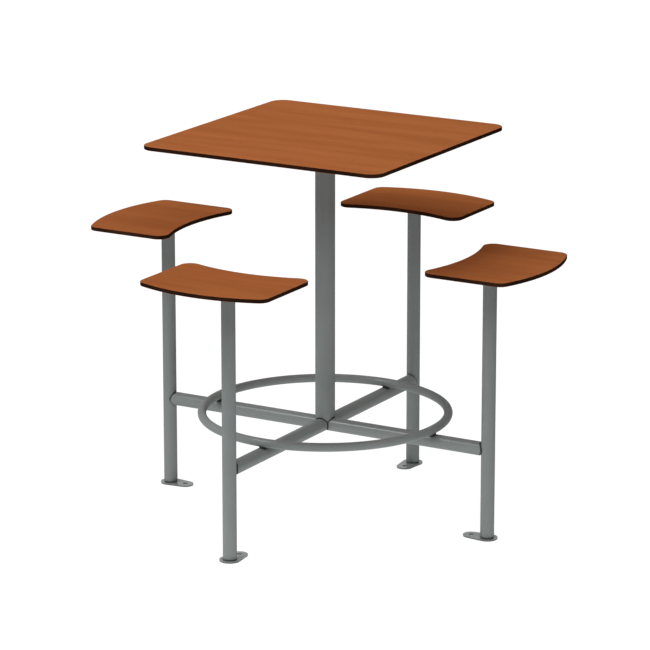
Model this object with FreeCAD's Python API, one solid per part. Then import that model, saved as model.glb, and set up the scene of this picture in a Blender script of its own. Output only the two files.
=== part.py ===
"""Square bar-height table with four swivel seats on one welded tube frame.

The frame stands on the floor at z = 0, with the centre post on the Z axis. Each side of the
table has a spoke, a seat post and a seat, and everything on a side is drawn once, pointing
along +X, and turned into place. Sizes are in millimetres.
"""
import FreeCAD, Part
import math
import os

# ---- Driving dimensions ---------------------------------------------------------------

# Boards: the tabletop and the four seats are cut from one thickness
board_thickness = 11.0
board_arris = 1.0  # chamfer on the upper and lower rims

table_height = 1067.0
table_side = 733.0
table_corner_radius = 38.8

seat_height = 775.5
seat_width = 389.0
seat_depth = 253.0
seat_edge_curve = 472.0  # plan radius of both long edges
seat_corner_radius = 30.0
seat_offset = 48.7  # from the post's axis out to the middle of the seat

# Frame tubes
centre_post_diameter = 55.0
centre_post_wall = 3.0
seat_post_diameter = 38.1
seat_post_wall = 3.0
spoke_diameter = 38.1
spoke_wall = 3.0
ring_tube_diameter = 24.0
ring_tube_wall = 2.0

seat_circle_radius = 509.2  # from the table's axis to each seat post's axis
spoke_height = 252.2  # floor to the spokes' centreline
ring_radius = 341.4  # to the middle of the ring's tube

# Welds: tube ends stand clear of what they join, and weld metal bridges the gap, below the
# tubes' surface
hub_gap = 3.2  # between the spokes' mitres, and from the spokes up to the centre post
post_gap = 4.8  # from a spoke's end to its seat post
foot_gap = 3.2  # from a foot plate up to its seat post
ring_gap = 2.0  # from the top of a spoke up to the ring
weld_recess = 2.0  # from a tube's surface down to the weld
weld_penetration = 0.6  # of the weld into a tube's bore
ring_weld_radius = 7.0

# Plates
support_plate_side = 300.0
support_plate_thickness = 5.0
support_plate_corner_radius = 24.0
support_screw_inset = 18.0  # from the plate's edge to its screws

foot_thickness = 4.0
foot_heel_radius = 28.8  # round the seat post
foot_lug_radius = 23.1  # round the anchor hole
foot_lug_reach = 48.4  # from the post's axis in to the anchor hole
anchor_hole_diameter = 13.0

seat_plate_length = 150.0
seat_plate_width = 170.0
seat_plate_thickness = 4.0
seat_plate_corner_radius = 18.0
seat_plate_offset = 20.0  # from the post's axis out to the middle of the plate
seat_screw_inset = 16.0

# Swivel in the top of each seat post
spindle_diameter = 20.0
spindle_spigot_diameter = 16.0
spindle_tail = 4.5  # below the retaining ring
bush_wall = 2.5
bush_length = 20.0
bush_flange_thickness = 2.0
upper_bush_flange_width = 5.0
lower_bush_flange_width = 2.5
sleeve_length = 70.0
sleeve_flange_thickness = 3.0
thrust_washer_thickness = 1.5
retaining_ring_thickness = 1.2
retaining_ring_depth = 1.0  # of its groove in the spindle
retaining_ring_width = 4.0
retaining_ring_opening = 50.0  # degrees

# Screws, all of one pattern
screw_diameter = 6.0
screw_head_diameter = 12.0
screw_head_height = 3.4
screw_bite = 7.5  # into the board
screw_socket_flats = 4.0
screw_socket_depth = 2.0

# ---- Clearances -----------------------------------------------------------------------

ring_butt_gap = 0.2  # where the rolled ring's two ends meet
press_gap = 0.05  # sleeve in its post, bush in its sleeve, spigot in its plate
running_gap = 0.05  # radial, spindle in its bushes
thrust_gap = 0.2  # end play of the swivel
screw_hole_gap = 0.4  # radial, in the plates
tapped_hole_gap = 0.05  # radial, in the boards
hole_end_gap = 0.5  # past a screw's tip

# ---- Values worked out from the dimensions ----------------------------------------------

X_AXIS = FreeCAD.Vector(1, 0, 0)
Z_AXIS = FreeCAD.Vector(0, 0, 1)
ORIGIN = FreeCAD.Vector(0, 0, 0)
SIDES = {"right": 0, "back": 90, "left": 180, "front": 270}

centre_post_radius = centre_post_diameter / 2
seat_post_radius = seat_post_diameter / 2
spoke_radius = spoke_diameter / 2
ring_tube_radius = ring_tube_diameter / 2
spindle_radius = spindle_diameter / 2
screw_radius = screw_diameter / 2

ring_height = spoke_height + spoke_radius + ring_gap + ring_tube_radius
mitre_apex = hub_gap / math.sqrt(2)  # from the table's axis out to the point of a spoke's mitre
spoke_weld_inner_radius = spoke_radius - spoke_wall - weld_penetration

seat_post_bottom = foot_thickness + foot_gap
table_underside = table_height - board_thickness
support_plate_underside = table_underside - support_plate_thickness

# The swivel's stack, downwards from the seat board to the post's top
seat_underside = seat_height - board_thickness
seat_plate_underside = seat_underside - seat_plate_thickness
washer_underside = seat_plate_underside - thrust_washer_thickness
upper_bush_top = washer_underside - thrust_gap
sleeve_top = upper_bush_top - bush_flange_thickness
seat_post_top = sleeve_top - sleeve_flange_thickness
sleeve_bottom = seat_post_top - sleeve_length
lower_bush_bottom = sleeve_bottom - bush_flange_thickness
retaining_ring_top = lower_bush_bottom - thrust_gap
retaining_ring_bottom = retaining_ring_top - retaining_ring_thickness
spindle_bottom = retaining_ring_bottom - spindle_tail

sleeve_outer_radius = seat_post_radius - seat_post_wall - press_gap
bush_inner_radius = spindle_radius + running_gap
bush_outer_radius = bush_inner_radius + bush_wall
groove_radius = spindle_radius - retaining_ring_depth


# ---- Shared shapes ----------------------------------------------------------------------

def point(x, y, z=0.0):
    return FreeCAD.Vector(x, y, z)


def rod(radius, bottom, top, x=0.0, y=0.0):
    """An upright cylinder between two heights."""
    return Part.makeCylinder(radius, top - bottom, point(x, y, bottom), Z_AXIS)


def pipe(outer_radius, inner_radius, bottom, top, x=0.0):
    """An upright tube between two heights."""
    return rod(outer_radius, bottom, top, x).cut(rod(inner_radius, bottom, top, x))


def level_rod(radius, start, end, height):
    """A cylinder along X at a height, from one x to another."""
    return Part.makeCylinder(radius, end - start, point(start, 0, height), X_AXIS)


def prism(wire, bottom, top):
    """A closed plan outline drawn at z = 0, raised between two heights."""
    solid = Part.Face(wire).extrude(point(0, 0, top - bottom))
    solid.translate(point(0, 0, bottom))
    return solid


def outline(points):
    return Part.makePolygon(points + [points[0]])


def upright_edges(solid):
    """The edges that run straight up, which are the corners of a plate's plan."""
    def is_upright(edge):
        ends = [vertex.Point for vertex in edge.Vertexes]
        return len(ends) == 2 and abs(abs((ends[1] - ends[0]).normalize().z) - 1) < 1e-6
    return [edge for edge in solid.Edges if is_upright(edge)]


def rim_edges(solid):
    """The edges round a plate's upper and lower faces."""
    return [edge for edge in solid.Edges if edge.BoundBox.ZLength < 1e-6]


def rectangle(length, width, corner_radius, bottom, top, x=0.0):
    """A plate with rounded corners, its middle at (x, 0)."""
    half_l = length / 2
    half_w = width / 2
    corners = [
        point(x - half_l, -half_w),
        point(x + half_l, -half_w),
        point(x + half_l, half_w),
        point(x - half_l, half_w),
    ]
    plate = prism(outline(corners), bottom, top)
    return plate.makeFillet(corner_radius, upright_edges(plate))


def one_solid(shape):
    """The single solid of a boolean's result."""
    return shape.Solids[0]


def turned(shape, angle):
    copy = shape.copy()
    copy.rotate(ORIGIN, Z_AXIS, angle)
    return copy


def round_the_sides(solid):
    """Four copies of a solid, one for each side, as a group."""
    return Part.makeCompound([turned(solid, angle) for angle in SIDES.values()])


def screw(x, y, plate_underside, plate_thickness):
    """A pan-head screw pointing up through a plate into a board, with a hexagon socket."""
    head_bottom = plate_underside - screw_head_height
    tip = plate_underside + plate_thickness + screw_bite
    shank = rod(screw_radius, plate_underside - screw_head_height / 2, tip, x, y)
    head = rod(screw_head_diameter / 2, head_bottom, plate_underside, x, y)
    socket_radius = screw_socket_flats / math.sqrt(3)
    corners = []
    for i in range(6):
        angle = math.radians(60 * i)
        corners.append(point(x + socket_radius * math.cos(angle), y + socket_radius * math.sin(angle)))
    socket = prism(outline(corners), head_bottom, head_bottom + screw_socket_depth)
    return one_solid(head.fuse(shank).cut(socket))


def screw_holes(places, radius, bottom, top):
    return [rod(radius, bottom, top, x, y) for x, y in places]


# ---- Tabletop -----------------------------------------------------------------------------

def support_screw_places():
    """Eight screws: the plate's four corners and the middle of each side."""
    reach = support_plate_side / 2 - support_screw_inset
    steps = (-reach, 0.0, reach)
    return [(x, y) for x in steps for y in steps if (x, y) != (0.0, 0.0)]


def tabletop():
    board = rectangle(table_side, table_side, table_corner_radius, table_underside, table_height)
    board = board.makeChamfer(board_arris, rim_edges(board))
    depth = screw_bite + hole_end_gap
    holes = screw_holes(support_screw_places(), screw_radius + tapped_hole_gap,
                        table_underside, table_underside + depth)
    return one_solid(board.cut(holes))


def support_plate():
    plate = rectangle(support_plate_side, support_plate_side, support_plate_corner_radius,
                      support_plate_underside, table_underside)
    holes = screw_holes(support_screw_places(), screw_radius + screw_hole_gap,
                        support_plate_underside, table_underside)
    return one_solid(plate.cut(holes))


def support_screws():
    return [screw(x, y, support_plate_underside, support_plate_thickness)
            for x, y in support_screw_places()]


# ---- Frame ----------------------------------------------------------------------------------

def level_pipe(outer_radius, inner_radius, length):
    """A tube along X from the table's axis, at the height of the spokes."""
    outside = level_rod(outer_radius, 0, length, spoke_height)
    return outside.cut(level_rod(inner_radius, 0, length, spoke_height))


def crossed_rods(radius):
    """Two cylinders along the four spokes, crossing on the table's axis."""
    reach = centre_post_diameter
    along_x = level_rod(radius, -reach, reach, spoke_height)
    return along_x.fuse(turned(along_x, 90))


def quarter(apex):
    """A wedge about the X axis, 90 degrees wide, whose edge is this far out from the table's axis."""
    reach = seat_circle_radius
    wedge = outline([point(apex, 0), point(reach, apex - reach), point(reach, reach - apex)])
    return prism(wedge, spoke_height - spoke_diameter, spoke_height + spoke_diameter)


def centre_post():
    """The tube stands astride the four spokes, coped to them, with a point in each angle."""
    post = pipe(centre_post_radius, centre_post_radius - centre_post_wall,
                spoke_height, support_plate_underside)
    return one_solid(post.cut(crossed_rods(spoke_radius + hub_gap)))


def spoke():
    """A tube mitred to its two neighbours on the axis and fish-mouthed to its seat post."""
    tube = level_pipe(spoke_radius, spoke_radius - spoke_wall, seat_circle_radius)
    post_space = rod(seat_post_radius + post_gap, 0, seat_post_top, seat_circle_radius)
    return one_solid(tube.common(quarter(mitre_apex)).cut(post_space))


def mitre_weld():
    """Weld metal in the four grooves between the mitred spokes, which meet above and below."""
    rib = level_pipe(spoke_radius - weld_recess, spoke_weld_inner_radius, centre_post_diameter)
    rib = rib.common(quarter(0)).cut(quarter(mitre_apex))
    ribs = [turned(rib, angle) for angle in SIDES.values()]
    return one_solid(ribs[0].fuse(ribs[1:]))


def cope_weld():
    """Weld metal in the groove between the centre post's coped end and the spokes."""
    band = pipe(centre_post_radius - weld_recess,
                centre_post_radius - centre_post_wall - weld_penetration,
                spoke_height, spoke_height + centre_post_diameter)
    groove = crossed_rods(spoke_radius + hub_gap).cut(crossed_rods(spoke_radius))
    return one_solid(band.common(groove))


def post_weld():
    """Weld metal in the groove between a spoke's fish mouth and its seat post."""
    ring = level_pipe(spoke_radius - weld_recess, spoke_weld_inner_radius, seat_circle_radius)
    groove = pipe(seat_post_radius + post_gap, seat_post_radius, 0, seat_post_top, seat_circle_radius)
    return one_solid(ring.common(groove))


def foot_weld():
    """Weld metal in the groove between a seat post and its foot plate."""
    return pipe(seat_post_radius - weld_recess, seat_post_radius - seat_post_wall - weld_penetration,
                foot_thickness, seat_post_bottom, seat_circle_radius)


def foot_ring():
    """A rolled tube on top of the spokes, its ends butted together over the back spoke."""
    sweep = 360 - math.degrees(ring_butt_gap / ring_radius)
    middle = point(0, 0, ring_height)
    outside = Part.makeTorus(ring_radius, ring_tube_radius, middle, Z_AXIS, 0, 360, sweep)
    inside = Part.makeTorus(ring_radius, ring_tube_radius - ring_tube_wall, middle, Z_AXIS,
                            0, 360, sweep)
    return turned(one_solid(outside.cut(inside)), SIDES["back"] + (360 - sweep) / 2)


def ring_weld():
    """Weld metal under the ring, where it crosses a spoke."""
    blank = rod(ring_weld_radius, spoke_height, ring_height, ring_radius)
    ring_space = Part.makeTorus(ring_radius, ring_tube_radius, point(0, 0, ring_height), Z_AXIS)
    spoke_space = level_rod(spoke_radius, 0, seat_circle_radius, spoke_height)
    return one_solid(blank.cut([ring_space, spoke_space]))


def seat_post():
    return pipe(seat_post_radius, seat_post_radius - seat_post_wall, seat_post_bottom,
                seat_post_top, seat_circle_radius)


def foot_plate():
    """A flat teardrop: a round heel under the post and a lug, nearer the middle, for the anchor."""
    lug_x = seat_circle_radius - foot_lug_reach
    lean = math.acos((foot_heel_radius - foot_lug_radius) / foot_lug_reach)
    along = math.cos(lean)
    across = math.sin(lean)
    heel = point(seat_circle_radius - foot_heel_radius * along, foot_heel_radius * across)
    heel_end = point(seat_circle_radius + foot_heel_radius, 0)
    lug = point(lug_x - foot_lug_radius * along, foot_lug_radius * across)
    lug_end = point(lug_x - foot_lug_radius, 0)
    heel_mirror = point(heel.x, -heel.y)
    lug_mirror = point(lug.x, -lug.y)
    wire = Part.Wire([
        Part.Arc(heel_mirror, heel_end, heel).toShape(),
        Part.LineSegment(heel, lug).toShape(),
        Part.Arc(lug, lug_end, lug_mirror).toShape(),
        Part.LineSegment(lug_mirror, heel_mirror).toShape(),
    ])
    plate = prism(wire, 0, foot_thickness)
    return one_solid(plate.cut(rod(anchor_hole_diameter / 2, 0, foot_thickness, lug_x)))


# ---- Swivel, fixed half -----------------------------------------------------------------------

def bearing_sleeve():
    """A flanged steel housing let into the post's top, bored for the two bushes."""
    body = rod(sleeve_outer_radius, sleeve_bottom, sleeve_top, seat_circle_radius)
    flange = rod(seat_post_radius, seat_post_top, sleeve_top, seat_circle_radius)
    bore = rod(bush_outer_radius + press_gap, sleeve_bottom, sleeve_top, seat_circle_radius)
    return one_solid(body.fuse(flange).cut(bore))


def bush(body_bottom, body_top, flange_bottom, flange_top, flange_width):
    body = rod(bush_outer_radius, body_bottom, body_top, seat_circle_radius)
    flange = rod(bush_outer_radius + flange_width, flange_bottom, flange_top, seat_circle_radius)
    bore = rod(bush_inner_radius, min(body_bottom, flange_bottom), max(body_top, flange_top),
               seat_circle_radius)
    return one_solid(body.fuse(flange).cut(bore))


def upper_bush():
    return bush(sleeve_top - bush_length, upper_bush_top, sleeve_top, upper_bush_top,
                upper_bush_flange_width)


def lower_bush():
    return bush(lower_bush_bottom, sleeve_bottom + bush_length, lower_bush_bottom, sleeve_bottom,
                lower_bush_flange_width)


# ---- Swivel, turning half, and seat -----------------------------------------------------------

def spindle():
    """A turned pin: a spigot in the seat plate, a bearing length and a ring groove."""
    bearing = rod(spindle_radius, spindle_bottom, seat_plate_underside, seat_circle_radius)
    spigot = rod(spindle_spigot_diameter / 2, spindle_bottom, seat_underside, seat_circle_radius)
    groove = rod(spindle_radius, retaining_ring_bottom, retaining_ring_top, seat_circle_radius)
    groove = groove.cut(rod(groove_radius, spindle_bottom, seat_underside, seat_circle_radius))
    return one_solid(bearing.fuse(spigot).cut(groove))


def thrust_washer():
    return pipe(bush_outer_radius + upper_bush_flange_width, bush_inner_radius,
                washer_underside, seat_plate_underside, seat_circle_radius)


def retaining_ring():
    """A snap ring in the spindle's groove, open on the side away from the table."""
    inner_radius = groove_radius + press_gap
    ring = pipe(inner_radius + retaining_ring_width, inner_radius, retaining_ring_bottom,
                retaining_ring_top, seat_circle_radius)
    reach = 2 * (inner_radius + retaining_ring_width)
    half_width = reach * math.tan(math.radians(retaining_ring_opening / 2))
    middle = point(seat_circle_radius, 0)
    opening = prism(outline([middle, middle + point(reach, -half_width),
                             middle + point(reach, half_width)]),
                    retaining_ring_bottom, retaining_ring_top)
    return one_solid(ring.cut(opening))


def seat_screw_places():
    middle = seat_circle_radius + seat_plate_offset
    reach_x = seat_plate_length / 2 - seat_screw_inset
    reach_y = seat_plate_width / 2 - seat_screw_inset
    return [(middle + i * reach_x, j * reach_y) for i in (-1, 1) for j in (-1, 1)]


def seat_plate():
    plate = rectangle(seat_plate_length, seat_plate_width, seat_plate_corner_radius,
                      seat_plate_underside, seat_underside, seat_circle_radius + seat_plate_offset)
    holes = screw_holes(seat_screw_places(), screw_radius + screw_hole_gap,
                        seat_plate_underside, seat_underside)
    spigot_hole = rod(spindle_spigot_diameter / 2 + press_gap, seat_plate_underside, seat_underside,
                      seat_circle_radius)
    return one_solid(plate.cut(holes + [spigot_hole]))


def seat_screws():
    return [screw(x, y, seat_plate_underside, seat_plate_thickness) for x, y in seat_screw_places()]


def seat_board():
    """A flat board with straight sides, its two long edges curved the same way."""
    half_width = seat_width / 2
    sagitta = seat_edge_curve - math.sqrt(seat_edge_curve ** 2 - half_width ** 2)
    middle = seat_circle_radius + seat_offset
    outer_middle = point(middle + seat_depth / 2, 0)
    inner_middle = point(middle - seat_depth / 2, 0)
    outer_left = outer_middle + point(-sagitta, half_width)
    outer_right = outer_middle + point(-sagitta, -half_width)
    inner_left = inner_middle + point(-sagitta, half_width)
    inner_right = inner_middle + point(-sagitta, -half_width)
    wire = Part.Wire([
        Part.Arc(outer_right, outer_middle, outer_left).toShape(),
        Part.LineSegment(outer_left, inner_left).toShape(),
        Part.Arc(inner_left, inner_middle, inner_right).toShape(),
        Part.LineSegment(inner_right, outer_right).toShape(),
    ])
    board = prism(wire, seat_underside, seat_height)
    board = board.makeFillet(seat_corner_radius, upright_edges(board))
    board = board.makeChamfer(board_arris, rim_edges(board))
    holes = screw_holes(seat_screw_places(), screw_radius + tapped_hole_gap,
                        seat_underside, seat_underside + screw_bite + hole_end_gap)
    return one_solid(board.cut(holes))


# ---- Assembly -----------------------------------------------------------------------------------

def build_nodes():
    """Every piece by name. Identical small pieces of one assembly share a node."""
    nodes = {
        "tabletop": tabletop(),
        "tabletop_plate": support_plate(),
        "tabletop_screws": Part.makeCompound(support_screws()),
        "centre_post": centre_post(),
        "foot_ring": foot_ring(),
        "hub_welds": Part.makeCompound([mitre_weld(), cope_weld()]),
        "post_welds": round_the_sides(post_weld()),
        "foot_welds": round_the_sides(foot_weld()),
        "ring_welds": round_the_sides(ring_weld()),
    }
    one_side = {
        "spoke": spoke(),
        "seat_post": seat_post(),
        "foot_plate": foot_plate(),
        "bearing_sleeve": bearing_sleeve(),
        "upper_bush": upper_bush(),
        "lower_bush": lower_bush(),
        "spindle": spindle(),
        "thrust_washer": thrust_washer(),
        "retaining_ring": retaining_ring(),
        "seat_plate": seat_plate(),
        "seat_screws": Part.makeCompound(seat_screws()),
        "seat_board": seat_board(),
    }
    for side, angle in SIDES.items():
        for piece, shape in one_side.items():
            nodes[piece + "_" + side] = turned(shape, angle)
    return nodes


os.makedirs("parts", exist_ok=True)
for name, shape in build_nodes().items():
    shape.exportStep("parts/" + name + ".step")
    print(name, "solids", len(shape.Solids), "valid", shape.isValid(),
          "volume_cm3", round(shape.Volume / 1000, 2))
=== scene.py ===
# %% [markdown]
# # A bar-height table with four swivel seats
#
# The real table is one welded steel frame with a square laminate board on top and four
# small laminate seats, each on a swivel in the top of its own post. All of those pieces
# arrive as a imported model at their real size, so this notebook never changes a shape.
# What it adds is what a drawing of the steelwork can't say: how the wood-patterned
# laminate, the powder coat, the turned steel and the plastic bushes look in the light.

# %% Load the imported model
import math

import bpy
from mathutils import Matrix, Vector


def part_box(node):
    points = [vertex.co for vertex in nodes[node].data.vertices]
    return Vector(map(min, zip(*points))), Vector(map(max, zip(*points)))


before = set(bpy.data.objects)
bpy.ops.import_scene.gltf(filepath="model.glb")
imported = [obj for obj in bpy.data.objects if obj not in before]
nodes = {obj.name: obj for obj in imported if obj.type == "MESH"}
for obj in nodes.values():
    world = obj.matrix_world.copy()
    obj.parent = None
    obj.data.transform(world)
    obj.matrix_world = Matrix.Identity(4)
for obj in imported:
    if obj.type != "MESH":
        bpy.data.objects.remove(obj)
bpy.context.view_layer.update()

# %% [markdown]
# ## Read the sizes that the looks depend on
#
# A material often has to know where it is: the laminate is wood-patterned on its faces
# and black at its cut edge, and only the board's own height says which is which. Those
# heights could be typed in, but then they would drift from the model. They are read from
# the pieces instead.

# %% Heights of the boards
board_bottom, board_top = (corner.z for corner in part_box("tabletop"))
seat_bottom, seat_top = (corner.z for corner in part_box("seat_board_front"))

print("tabletop between", round(board_bottom, 4), "and", round(board_top, 4), "m")
print("seats between   ", round(seat_bottom, 4), "and", round(seat_top, 4), "m")

# %% [markdown]
# ## The camera
#
# A long lens from well back keeps upright posts upright and makes the near and far seats
# almost the same size, as in a product catalogue. The camera stands to the right of the
# front and a little above the tabletop, so that the top shows as a broad diamond and all
# four seats are in view. A camera and a lamp are both placed by a heading, an elevation
# and a distance, so one helper aims either of them at the middle of the table.

# %% Place the camera
table_middle = Vector((-0.00035, -0.0002, 0.5335))
camera_distance = 9.926
camera_heading = math.radians(30.0) - math.pi / 2  # 30 degrees round from the front
camera_elevation = math.radians(15.0)
camera_lens = 199.6
camera_sensor = 36.0
farthest_seen = 200.0


def aim(thing, heading, elevation, distance):
    """Stands a camera or lamp this far from the table's middle and turns it to face it."""
    outward = Vector((
        math.cos(heading) * math.cos(elevation),
        math.sin(heading) * math.cos(elevation),
        math.sin(elevation),
    ))
    thing.location = table_middle + distance * outward
    thing.rotation_euler = outward.to_track_quat("Z", "Y").to_euler()


camera_data = bpy.data.cameras.new("camera")
camera_data.lens = camera_lens
camera_data.sensor_width = camera_sensor
camera_data.clip_end = farthest_seen
camera = bpy.data.objects.new("camera", camera_data)
bpy.context.scene.collection.objects.link(camera)
aim(camera, camera_heading, camera_elevation, camera_distance)
bpy.context.scene.camera = camera

print("camera at", [round(value, 3) for value in camera.location])

# %% [markdown]
# ## A short way to write shader nodes
#
# A node takes four or five lines when each setting is a statement of its own, and the
# idea gets lost. This helper makes a node, sets its options and fills its sockets. A
# socket is filled with a plain value or with another node's output, and then it is linked.

# %% Node helpers
def add_node(tree, kind, sockets=None, **settings):
    """Adds a shader node. Sockets are given by name or number, as values or as outputs."""
    node = tree.nodes.new("ShaderNode" + kind)
    for name, value in settings.items():
        setattr(node, name, value)
    for name, value in (sockets or {}).items():
        if isinstance(value, bpy.types.NodeSocket):
            tree.links.new(value, node.inputs[name])
        else:
            node.inputs[name].default_value = value
    return node


def arithmetic(tree, operation, first, second=0.0):
    """One sum, product, cosine and so on of one value or two."""
    return add_node(tree, "Math", {0: first, 1: second}, operation=operation).outputs[0]


def remap(tree, value, low, high, new_low=0.0, new_high=1.0):
    """Stretches the range low..high to a new one, with soft ends, and clamps it."""
    sockets = {"Value": value, "From Min": low, "From Max": high,
               "To Min": new_low, "To Max": new_high}
    node = add_node(tree, "MapRange", sockets, interpolation_type="SMOOTHSTEP")
    return node.outputs["Result"]


def mix_colours(tree, mask, first, second):
    """The first colour where the mask is 0 and the second where it is 1."""
    node = add_node(tree, "Mix", {0: mask, 6: first, 7: second}, data_type="RGBA")
    return node.outputs[2]


print("node helpers ready")

# %% [markdown]
# ## A white room with soft panels
#
# The table stands in a white room that is lit by broad panels in its walls and ceiling.
# The brightest is a strip of the ceiling at the left. A wide wall in front fills the near
# sides, two smaller panels carry on round the corner to the left, and two low ones reach
# in under the boards. The far side and the right of the back give no light, so tubes turn
# darker there and keep their round shape. Hardly anything comes in level from the front,
# so each board shades its own post for a good way down. Only the pieces and the floor's
# paint are lit by the panels. The camera, reflections and anything clear see an even
# white room instead, so the background stays white however the panels are set.
#
# Each panel is a window in the sky, given by its brightness, its lowest and highest
# elevation, and its middle and half width as headings from the camera's.

# %% Panels of the room
straight_up = 90.0
all_round = 180.0
panels = [
    # name, brightness, lowest and highest elevation, heading from the camera's, half width
    ("wall in front", 1.80, 32.0, 58.0, 0.0, 90.0),
    ("low in front", 0.25, 18.0, 32.0, 0.0, 90.0),
    ("wall at the left", 0.80, 32.0, 45.0, -60.0, 30.0),
    ("high at the left", 0.84, 45.0, 58.0, -90.0, 60.0),
    ("low behind the left", 1.10, 0.0, 32.0, -120.0, 30.0),
    ("ceiling at the left", 5.38, 58.0, 72.0, -90.0, 60.0),
    ("overhead", 0.37, 72.0, straight_up, 0.0, all_round),
]


def panel_light(tree, direction, brightness, low, high, heading, half_width):
    """How much light a panel of the room sends from a direction. Angles are in degrees."""
    height = direction["Z"]
    above = arithmetic(tree, "GREATER_THAN", height, math.sin(math.radians(low)))
    light = arithmetic(tree, "MULTIPLY", above, brightness)
    if high < straight_up:
        below = arithmetic(tree, "LESS_THAN", height, math.sin(math.radians(high)))
        light = arithmetic(tree, "MULTIPLY", light, below)
    if half_width < all_round:
        turned = arithmetic(tree, "ARCTAN2", direction["Y"], direction["X"])
        turned = arithmetic(tree, "SUBTRACT", turned, camera_heading + math.radians(heading))
        within = arithmetic(tree, "GREATER_THAN", arithmetic(tree, "COSINE", turned),
                            math.cos(math.radians(half_width)))
        light = arithmetic(tree, "MULTIPLY", light, within)
    return light


print("panels:", [name for name, *setting in panels])

# %% [markdown]
# ## Join the panels into one surrounding
#
# Everything that lights the table from far away belongs in Blender's world. A Light Path
# node tells which kind of ray is asking, so the same world can send panel light to the
# pieces and show plain white to the camera and to anything that shines.

# %% Light the room
room_white = (1.0, 1.0, 1.0, 1.0)


def seen_directly(tree):
    """1 for rays from the camera, from a reflection or through glass, and 0 for the rest."""
    path = add_node(tree, "LightPath").outputs
    either = arithmetic(tree, "MAXIMUM", path["Is Camera Ray"], path["Is Glossy Ray"])
    return arithmetic(tree, "MAXIMUM", either, path["Is Transmission Ray"])


world = bpy.data.worlds.new("white room")
world.use_nodes = True
bpy.context.scene.world = world
tree = world.node_tree
tree.nodes.clear()
look = add_node(tree, "TexCoord").outputs["Generated"]
direction = add_node(tree, "SeparateXYZ", {0: look}).outputs
panel_sum = 0.0
for name, *setting in panels:
    panel_sum = arithmetic(tree, "ADD", panel_light(tree, direction, *setting), panel_sum)
daylight = add_node(tree, "Background", {"Color": room_white, "Strength": panel_sum})
backdrop = add_node(tree, "Background", {"Color": room_white, "Strength": 1.0})
choice = add_node(tree, "MixShader",
                  {0: seen_directly(tree), 1: daylight.outputs[0], 2: backdrop.outputs[0]})
add_node(tree, "OutputWorld", {"Surface": choice.outputs[0]})

print("world:", world.name, "with", len(panels), "panels")

# %% [markdown]
# ## The floor
#
# The floor is one square, so wide that its edge never shows.

# %% Lay the floor
floor_half_side = 60.0

floor_mesh = bpy.data.meshes.new("floor")
corners = [(x * floor_half_side, y * floor_half_side, 0.0)
           for x, y in ((-1, -1), (1, -1), (1, 1), (-1, 1))]
floor_mesh.from_pydata(corners, [], [(0, 1, 2, 3)])
floor = bpy.data.objects.new("floor", floor_mesh)
bpy.context.scene.collection.objects.link(floor)

print("floor", 2 * floor_half_side, "m wide")

# %% [markdown]
# ## Light off the floor
#
# The undersides of the tubes are as bright as their sides, so a good part of the light
# comes up off the floor. The floor is pale, and round the table it also glows, like a
# studio table with a lamp under its sheet. The pool of light is small, so it lights the
# feet and the spokes more than the tops of the posts, and it lies a little toward the
# camera, which favours the near sides. For the camera most of the floor is swapped for
# plain white. What is left of its own surface keeps the table's shadow, which is faint.
# From below the floor is clear to the camera, so that the undersides can be looked at.

# %% Floor material
floor_paint = (0.6, 0.6, 0.6, 1.0)
floor_swap = 0.85  # how much of what the camera sees is plain white
floor_white = 1.13
floor_glow = 1.05
glow_centre = (0.4, -0.7, 0.0)
glow_near = 0.6  # full light up to this distance, and none from the next
glow_far = 2.0

floor_material = bpy.data.materials.new("pale floor")
floor_material.use_nodes = True
tree = floor_material.node_tree
tree.nodes.clear()
geometry = add_node(tree, "NewGeometry").outputs
direct = seen_directly(tree)
from_centre = add_node(tree, "VectorMath", {0: geometry["Position"], 1: glow_centre},
                       operation="DISTANCE")
pool = remap(tree, from_centre.outputs["Value"], glow_near, glow_far, floor_glow, 0.0)
pool = arithmetic(tree, "MULTIPLY", pool, arithmetic(tree, "SUBTRACT", 1.0, direct))
paint = add_node(tree, "BsdfDiffuse", {"Color": floor_paint})
glow = add_node(tree, "Emission", {"Color": room_white, "Strength": pool})
lit = add_node(tree, "AddShader", {0: paint.outputs[0], 1: glow.outputs[0]})
plain = add_node(tree, "Emission", {"Color": room_white, "Strength": floor_white})
swapped = arithmetic(tree, "MULTIPLY", direct, floor_swap)
surface = add_node(tree, "MixShader", {0: swapped, 1: lit.outputs[0], 2: plain.outputs[0]})
clear = add_node(tree, "BsdfTransparent")
from_below = arithmetic(tree, "MULTIPLY", geometry["Backfacing"],
                        add_node(tree, "LightPath").outputs["Is Camera Ray"])
shown = add_node(tree, "MixShader", {0: from_below, 1: surface.outputs[0], 2: clear.outputs[0]})
add_node(tree, "OutputMaterial", {"Surface": shown.outputs[0]})
floor.data.materials.append(floor_material)

print("floor glows at", floor_glow, "and fades out", glow_far, "m from its middle")

# %% [markdown]
# ## One soft lamp
#
# The panels are too broad for a tube to show one as a highlight. One soft lamp, further to
# the left than most of them and about half way up, draws the thin bright line along the
# two spokes that lie across its light. It must stay low enough to shine in under the
# tabletop: higher up, the boards would shade the spokes and the line would be lost.
#
# Blender asks for an area lamp's power in watts, which says little about how bright it
# looks. The power is worked out from the light that a white surface gets at the table.

# %% Hang the lamp
lamp_heading = camera_heading - math.radians(76.0)
lamp_elevation = math.radians(48.0)
lamp_distance = 5.0
lamp_size = 1.0
lamp_light = 0.19  # on a white surface that faces the lamp, where 1 renders as white

lamp_data = bpy.data.lights.new("soft lamp", "AREA")
lamp_data.shape = "DISK"
lamp_data.size = lamp_size
lamp_data.energy = lamp_light * (math.pi * lamp_distance) ** 2
lamp = bpy.data.objects.new("soft lamp", lamp_data)
bpy.context.scene.collection.objects.link(lamp)
aim(lamp, lamp_heading, lamp_elevation, lamp_distance)

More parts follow.
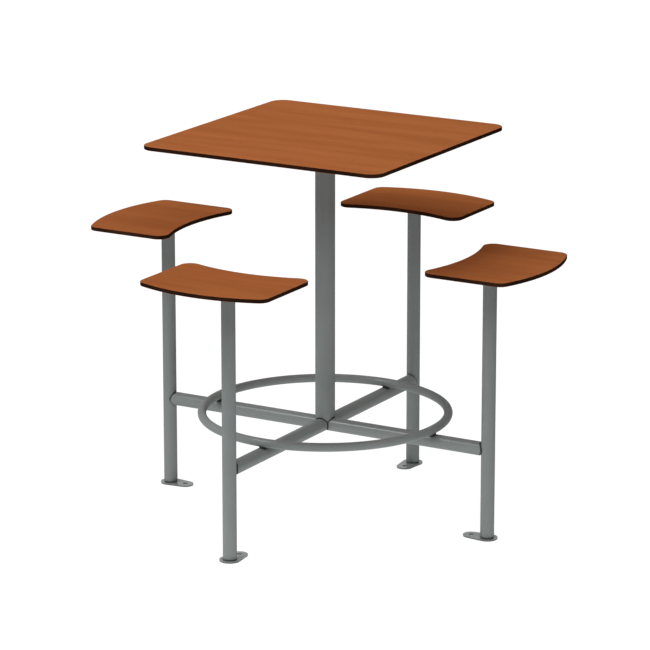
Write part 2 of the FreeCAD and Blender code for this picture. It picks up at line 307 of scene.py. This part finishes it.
bpy.context.scene.view_settings.view_transform = "Standard"
print("lamp power", round(lamp_data.energy), "W")

# %% [markdown]
# ## Wood pattern as a node group
#
# The boards are compact laminate: a sheet of printed wood-pattern paper pressed on a
# thick black core. The print has three scales. Broad soft streaks run the length of the
# sheet, finer ones lie within them, and small dark pores follow the same direction. Each
# is a noise stretched along X, because all the boards were cut with the pattern running
# that way. The group is shared by the tabletop and the seats.

# %% Wood pattern group
noise_spread = (0.30, 0.70)  # most of a noise's values lie between these
broad_streaks = (1.6, 16.0, 16.0)  # features per metre along X, Y and Z
broad_wander = 0.6
broad_share = 0.6
fine_streaks = (5.0, 95.0, 95.0)
fine_spread = (0.25, 0.75)
fine_share = 0.4
pore_dashes = (85.0, 1500.0, 1500.0)
pore_spread = (0.62, 0.74)


def new_group(name, inputs, outputs):
    """A node group with named sockets, given as (name, kind, value) and (name, kind)."""
    group = bpy.data.node_groups.new(name, "ShaderNodeTree")
    for socket, kind, value in inputs:
        made = group.interface.new_socket(socket, in_out="INPUT", socket_type="NodeSocket" + kind)
        if value is not None:
            made.default_value = value
    for socket, kind in outputs:
        group.interface.new_socket(socket, in_out="OUTPUT", socket_type="NodeSocket" + kind)
    return group, group.nodes.new("NodeGroupInput"), group.nodes.new("NodeGroupOutput")


def stretched_noise(tree, place, per_metre, detail=2.0, wander=0.0):
    """Noise with this many features per metre along X, Y and Z."""
    scaled = add_node(tree, "VectorMath", {0: place, 1: per_metre}, operation="MULTIPLY")
    sockets = {"Vector": scaled.outputs[0], "Scale": 1.0,
               "Detail": detail, "Distortion": wander}
    return add_node(tree, "TexNoise", sockets).outputs["Fac"]


wood_pattern, given, result = new_group(
    "wood pattern",
    [("Place", "Vector", None)],
    [("Streaks", "Float"), ("Pores", "Float")],
)
place = given.outputs["Place"]
broad = stretched_noise(wood_pattern, place, broad_streaks, wander=broad_wander)
broad = remap(wood_pattern, broad, *noise_spread)
broad = arithmetic(wood_pattern, "MULTIPLY", broad, broad_share)
fine = stretched_noise(wood_pattern, place, fine_streaks, detail=3.0)
fine = remap(wood_pattern, fine, *fine_spread)
fine = arithmetic(wood_pattern, "MULTIPLY", fine, fine_share)
streaks = arithmetic(wood_pattern, "ADD", broad, fine)
pores = stretched_noise(wood_pattern, place, pore_dashes, detail=1.0)
pores = remap(wood_pattern, pores, *pore_spread)
wood_pattern.links.new(streaks, result.inputs["Streaks"])
wood_pattern.links.new(pores, result.inputs["Pores"])

print("group:", wood_pattern.name)

# %% [markdown]
# ## How every material starts and ends
#
# Every finish below starts with one Principled shader joined to the output, and ends with
# a Bump node that shades the surface without moving it. Both are written once here, so
# that each finish only says what is its own.

# %% Material helpers
def new_material(name):
    """An empty material with its shader, ready for links."""
    material = bpy.data.materials.new(name)
    material.use_nodes = True
    material.node_tree.nodes.clear()
    shader = add_node(material.node_tree, "BsdfPrincipled")
    add_node(material.node_tree, "OutputMaterial", {"Surface": shader.outputs[0]})
    return material, material.node_tree, shader


def add_bump(tree, shader, height, strength, depth):
    """Shades the surface as if a height from 0 to 1 rose this many metres out of it."""
    bump = add_node(tree, "Bump", {"Height": height, "Strength": strength, "Distance": depth})
    tree.links.new(bump.outputs["Normal"], shader.inputs["Normal"])


print("material helpers ready")

# %% [markdown]
# ## Laminate
#
# The printed sheet is less than a millimetre thick, so at the rim of each board a thin
# coloured line lies above the black core, and another below it. A mask worked out from
# the height gives both with no extra geometry. The core is many sheets of brown paper
# pressed together, which shows as faint level lines. The surface is a dull satin: laminate
# outdoors is made matt so that fingerprints and sun don't show.

# %% Laminate material
printed_sheet = 0.0005
print_light = (0.374, 0.1209, 0.0384, 1.0)
print_dark = (0.303, 0.0934, 0.0297, 1.0)
print_pore = (0.270, 0.080, 0.025, 1.0)
pore_strength = 0.45
pore_depth = 0.0001
print_roughness = (0.50, 0.66)  # beside the pores and in them
seat_tone = 0.90
core_dark = (0.017, 0.0076, 0.0044, 1.0)
core_light = (0.036, 0.0148, 0.0082, 1.0)
core_sheets = (20.0, 20.0, 3600.0)  # features per metre: 3600 makes a sheet 0.28 mm thick
core_patches = (8.0, 8.0, 8.0)
core_spread = (0.15, 0.40)


def laminate(name, bottom, top, tone=1.0):
    """Printed faces over a black core, for boards between two heights."""
    material, tree, shader = new_material(name)
    place = add_node(tree, "TexCoord").outputs["Object"]
    pattern = add_node(tree, "Group", {"Place": place}, node_tree=wood_pattern).outputs

    printed = mix_colours(tree, pattern["Streaks"], print_dark, print_light)
    pore_mask = arithmetic(tree, "MULTIPLY", pattern["Pores"], pore_strength)
    printed = mix_colours(tree, pore_mask, printed, print_pore)
    printed = add_node(tree, "VectorMath", {0: printed, 1: (tone, tone, tone)},
                       operation="MULTIPLY").outputs[0]

    height = add_node(tree, "SeparateXYZ", {0: place}).outputs["Z"]
    middle = (bottom + top) / 2
    from_middle = arithmetic(tree, "ABSOLUTE", arithmetic(tree, "SUBTRACT", height, middle))
    half_core = (top - bottom) / 2 - printed_sheet
    in_core = arithmetic(tree, "LESS_THAN", from_middle, half_core)

    sheets = stretched_noise(tree, place, core_sheets, detail=1.0)
    patches = stretched_noise(tree, place, core_patches, detail=1.0)
    core_mask = remap(tree, arithmetic(tree, "MULTIPLY", sheets, patches), *core_spread)
    core = mix_colours(tree, core_mask, core_dark, core_light)

    tree.links.new(mix_colours(tree, in_core, printed, core), shader.inputs["Base Color"])
    roughness = remap(tree, pattern["Pores"], 0.0, 1.0, *print_roughness)
    tree.links.new(roughness, shader.inputs["Roughness"])
    shader.inputs["Specular IOR Level"].default_value = 0.0
    pits = arithmetic(tree, "MULTIPLY", pattern["Pores"], -1.0)
    add_bump(tree, shader, pits, strength=0.25, depth=pore_depth)
    return material


tabletop_laminate = laminate("tabletop laminate", board_bottom, board_top)
seat_laminate = laminate("seat laminate", seat_bottom, seat_top, seat_tone)
print("laminate made for", tabletop_laminate.name, "and", seat_laminate.name)

# %% [markdown]
# ## The skin of a powder coat
#
# Grey powder is sprayed on the welded frame and melts into a smooth skin. Up close the
# skin has a slight orange peel, a millimetre or two across, and its colour is not
# perfectly even. Shade is also painted into the coat's colour: within a few millimetres of
# a joint and inside the anchor holes the colour turns dark, toward near black, as painted
# shade. An Ambient Occlusion node measures how open a spot is, by sending out short rays.
# The peel and the painted corner shade are one node group, because the same skin covers
# the tubes, the feet and the plates under the boards.

# %% Orange peel group
peel_size = 0.0016
cloud_patches = 22.0  # per metre
# painted corner shade: how far its rays reach, how many there are, and how open a spot must be to
# escape it
painted_shade_reach = 0.010
painted_shade_rays = 12
painted_shade_spread = (0.25, 0.95)  # how open a spot is where the painted shade is darkest and where it ends

orange_peel, given, result = new_group(
    "orange peel",
    [("Place", "Vector", None), ("Size", "Float", peel_size)],
    [("Height", "Float"), ("Cloud", "Float"), ("Openness", "Float")],
)
place = given.outputs["Place"]
peels_per_metre = arithmetic(orange_peel, "DIVIDE", 1.0, given.outputs["Size"])
peel = add_node(orange_peel, "TexNoise",
                {"Vector": place, "Scale": peels_per_metre, "Detail": 2.0})
cloud = add_node(orange_peel, "TexNoise",
                 {"Vector": place, "Scale": cloud_patches, "Detail": 3.0})
open_room = add_node(orange_peel, "AmbientOcclusion", {"Distance": painted_shade_reach},
                     samples=painted_shade_rays)
openness = remap(orange_peel, open_room.outputs["AO"], *painted_shade_spread)
orange_peel.links.new(peel.outputs["Fac"], result.inputs["Height"])
orange_peel.links.new(cloud.outputs["Fac"], result.inputs["Cloud"])
orange_peel.links.new(openness, result.inputs["Openness"])

print("orange peel of", peel_size * 1000, "mm, corners dark within", painted_shade_reach * 1000, "mm")

# %% [markdown]
# ## Powder coat
#
# Fine metal flakes in the powder give it its soft sheen, so a tenth of the light is
# reflected as metal does it. On a tube a clear gloss as well would ring each edge with a
# pale line, so only the flat foot plates, which shoes keep polished, get a little of it.

# %% Powder coat material
coat_flakes = 0.10
coat_roughness = (0.19, 0.21)
coat_colour = (0.1925, 0.2096, 0.2072, 1.0)
coat_shade = (0.1868, 0.203, 0.2006, 1.0)
# the near-black colour of the painted shade in corners and holes
coat_painted_corner_shade = (0.020, 0.022, 0.022, 1.0)
peel_depth = 0.00006
tube_gloss = 0.0
foot_gloss = 0.22


def powder_coat(name, gloss):
    """Satin grey powder coat on steel, with this much clear gloss over its flakes."""
    material, tree, shader = new_material(name)
    place = add_node(tree, "TexCoord").outputs["Object"]
    skin = add_node(tree, "Group", {"Place": place}, node_tree=orange_peel).outputs
    cloud_mask = remap(tree, skin["Cloud"], *noise_spread)
    colour = mix_colours(tree, cloud_mask, coat_shade, coat_colour)
    # painted shade: spots that are less open, near joints and in holes, are darkened toward near
    # black
    colour = mix_colours(tree, skin["Openness"], coat_painted_corner_shade, colour)
    tree.links.new(colour, shader.inputs["Base Color"])
    roughness = remap(tree, skin["Cloud"], *noise_spread, *coat_roughness)
    tree.links.new(roughness, shader.inputs["Roughness"])
    shader.inputs["Metallic"].default_value = coat_flakes
    shader.inputs["Specular IOR Level"].default_value = gloss
    add_bump(tree, shader, skin["Height"], strength=0.30, depth=peel_depth)
    return material


frame_coat = powder_coat("grey powder coat", tube_gloss)
foot_coat = powder_coat("grey powder coat on the feet", foot_gloss)
print("made:", frame_coat.name, "and", foot_coat.name)

# %% [markdown]
# ## Weld seams
#
# Where one tube meets another, the welder leaves a gap a few millimetres wide and fills it
# to just below the surface. The groove is a real one in the model and casts its own shade,
# and the metal at its bottom, rather than a line on the tubes, is given near-black greys as
# painted shade on top of that, so the seam shows as a dark line; its roughness and ripples
# are the weld's own. At the feet a lighter grey of painted shade is used.

# %% Weld seam material
# painted shade: dark greys for the metal at the bottom of the weld grooves, lighter at the feet
seam_painted_shade_dark = (0.026, 0.027, 0.027, 1.0)
seam_painted_shade_light = (0.060, 0.063, 0.062, 1.0)
foot_seam_painted_shade_dark = (0.090, 0.094, 0.093, 1.0)
foot_seam_painted_shade_light = (0.165, 0.172, 0.170, 1.0)
seam_roughness = (0.80, 0.62)  # in the hollows and on the ripples
seam_gloss = 0.2
ripple_size = 0.0024
ripple_depth = 0.0003


def weld_metal(name, dark, light):
    """Rough metal between two greys of painted shade, with the ripples of a weld."""
    material, tree, shader = new_material(name)
    place = add_node(tree, "TexCoord").outputs["Object"]
    ripples = add_node(tree, "TexNoise",
                       {"Vector": place, "Scale": 1.0 / ripple_size, "Detail": 2.0})
    mask = remap(tree, ripples.outputs["Fac"], *noise_spread)
    tree.links.new(mix_colours(tree, mask, dark, light), shader.inputs["Base Color"])
    tree.links.new(remap(tree, mask, 0.0, 1.0, *seam_roughness), shader.inputs["Roughness"])
    shader.inputs["Specular IOR Level"].default_value = seam_gloss
    add_bump(tree, shader, mask, strength=0.5, depth=ripple_depth)
    return material


weld_seam = weld_metal("weld seam", seam_painted_shade_dark, seam_painted_shade_light)
foot_seam = weld_metal("weld seam at the feet", foot_seam_painted_shade_dark, foot_seam_painted_shade_light)
print("weld seams with ripples of", ripple_size * 1000, "mm")

# %% [markdown]
# ## Turned steel, zinc and plastic
#
# The swivels hide inside the posts, but they are real pieces and may be looked at with
# the seat taken off. The spindle, sleeve and washer come off a lathe, so they carry fine
# rings from the tool, and the retaining ring is given the same steel. The screws are zinc
# plated, which is brighter and slightly mottled. The bushes are plain off-white bearing
# plastic.
#
# All three are two tones of one finish, and differ in how the spots between them are
# drawn: round for zinc and plastic, and flattened into level rings for turned steel.

# %% Small metal and plastic parts
steel_bright = (0.56, 0.56, 0.57, 1.0)
steel_dull = (0.44, 0.44, 0.45, 1.0)
steel_roughness = (0.40, 0.28)  # each of these is for the dull tone and the bright one
zinc_bright = (0.66, 0.67, 0.70, 1.0)
zinc_dull = (0.52, 0.54, 0.58, 1.0)
zinc_roughness = (0.45, 0.30)
plastic_light = (0.76, 0.75, 0.71, 1.0)
plastic_dark = (0.68, 0.67, 0.62, 1.0)
plastic_roughness = (0.60, 0.45)
tool_rings = (40.0, 40.0, 2540.0)  # spots per metre along X, Y and Z
zinc_spots = (900.0, 900.0, 900.0)
plastic_spots = (500.0, 500.0, 500.0)
mottle_depth = 0.00003


def mottled(name, dull, bright, roughness, spots, metallic):
    """Two tones of one finish, in spots of the given size and shape."""
    material, tree, shader = new_material(name)
    place = add_node(tree, "TexCoord").outputs["Object"]
    mask = remap(tree, stretched_noise(tree, place, spots, detail=3.0), *noise_spread)
    tree.links.new(mix_colours(tree, mask, dull, bright), shader.inputs["Base Color"])
    tree.links.new(remap(tree, mask, 0.0, 1.0, *roughness), shader.inputs["Roughness"])
    shader.inputs["Metallic"].default_value = metallic
    add_bump(tree, shader, mask, strength=0.2, depth=mottle_depth)
    return material


turned_steel = mottled("turned steel", steel_dull, steel_bright, steel_roughness,
                       tool_rings, metallic=1.0)
zinc_plate = mottled("zinc plate", zinc_dull, zinc_bright, zinc_roughness,
                     zinc_spots, metallic=1.0)
bush_plastic = mottled("bearing plastic", plastic_dark, plastic_light, plastic_roughness,
                       plastic_spots, metallic=0.0)
print("small parts:", turned_steel.name, zinc_plate.name, bush_plastic.name)

# %% [markdown]
# ## Give every piece its finish
#
# The pieces are named for what they are and which side they belong to, so one table of
# name beginnings covers them all. A longer beginning stands before a shorter one that it
# starts with, so that the plate under the tabletop isn't taken for the tabletop. The loop
# stops with a message if a piece has no finish, which is how a piece added later is never
# left grey by accident.

# %% Finish for each kind of piece
FINISHES = {
    "tabletop_plate": frame_coat,
    "tabletop_screws": zinc_plate,
    "tabletop": tabletop_laminate,
    "centre_post": frame_coat,
    "foot_ring": frame_coat,
    "hub_welds": weld_seam,
    "post_welds": weld_seam,
    "foot_welds": foot_seam,
    "ring_welds": weld_seam,
    "spoke": frame_coat,
    "seat_post": frame_coat,
    "foot_plate": foot_coat,
    "seat_plate": frame_coat,
    "seat_board": seat_laminate,
    "seat_screws": zinc_plate,
    "bearing_sleeve": turned_steel,
    "spindle": turned_steel,
    "thrust_washer": turned_steel,
    "retaining_ring": turned_steel,
    "upper_bush": bush_plastic,
    "lower_bush": bush_plastic,
}

for name, piece in nodes.items():
    finish = next((FINISHES[start] for start in FINISHES if name.startswith(start)), None)
    if finish is None:
        raise ValueError("no finish for " + name)
    piece.data.materials.clear()
    piece.data.materials.append(finish)

print("finished pieces:", len(nodes))
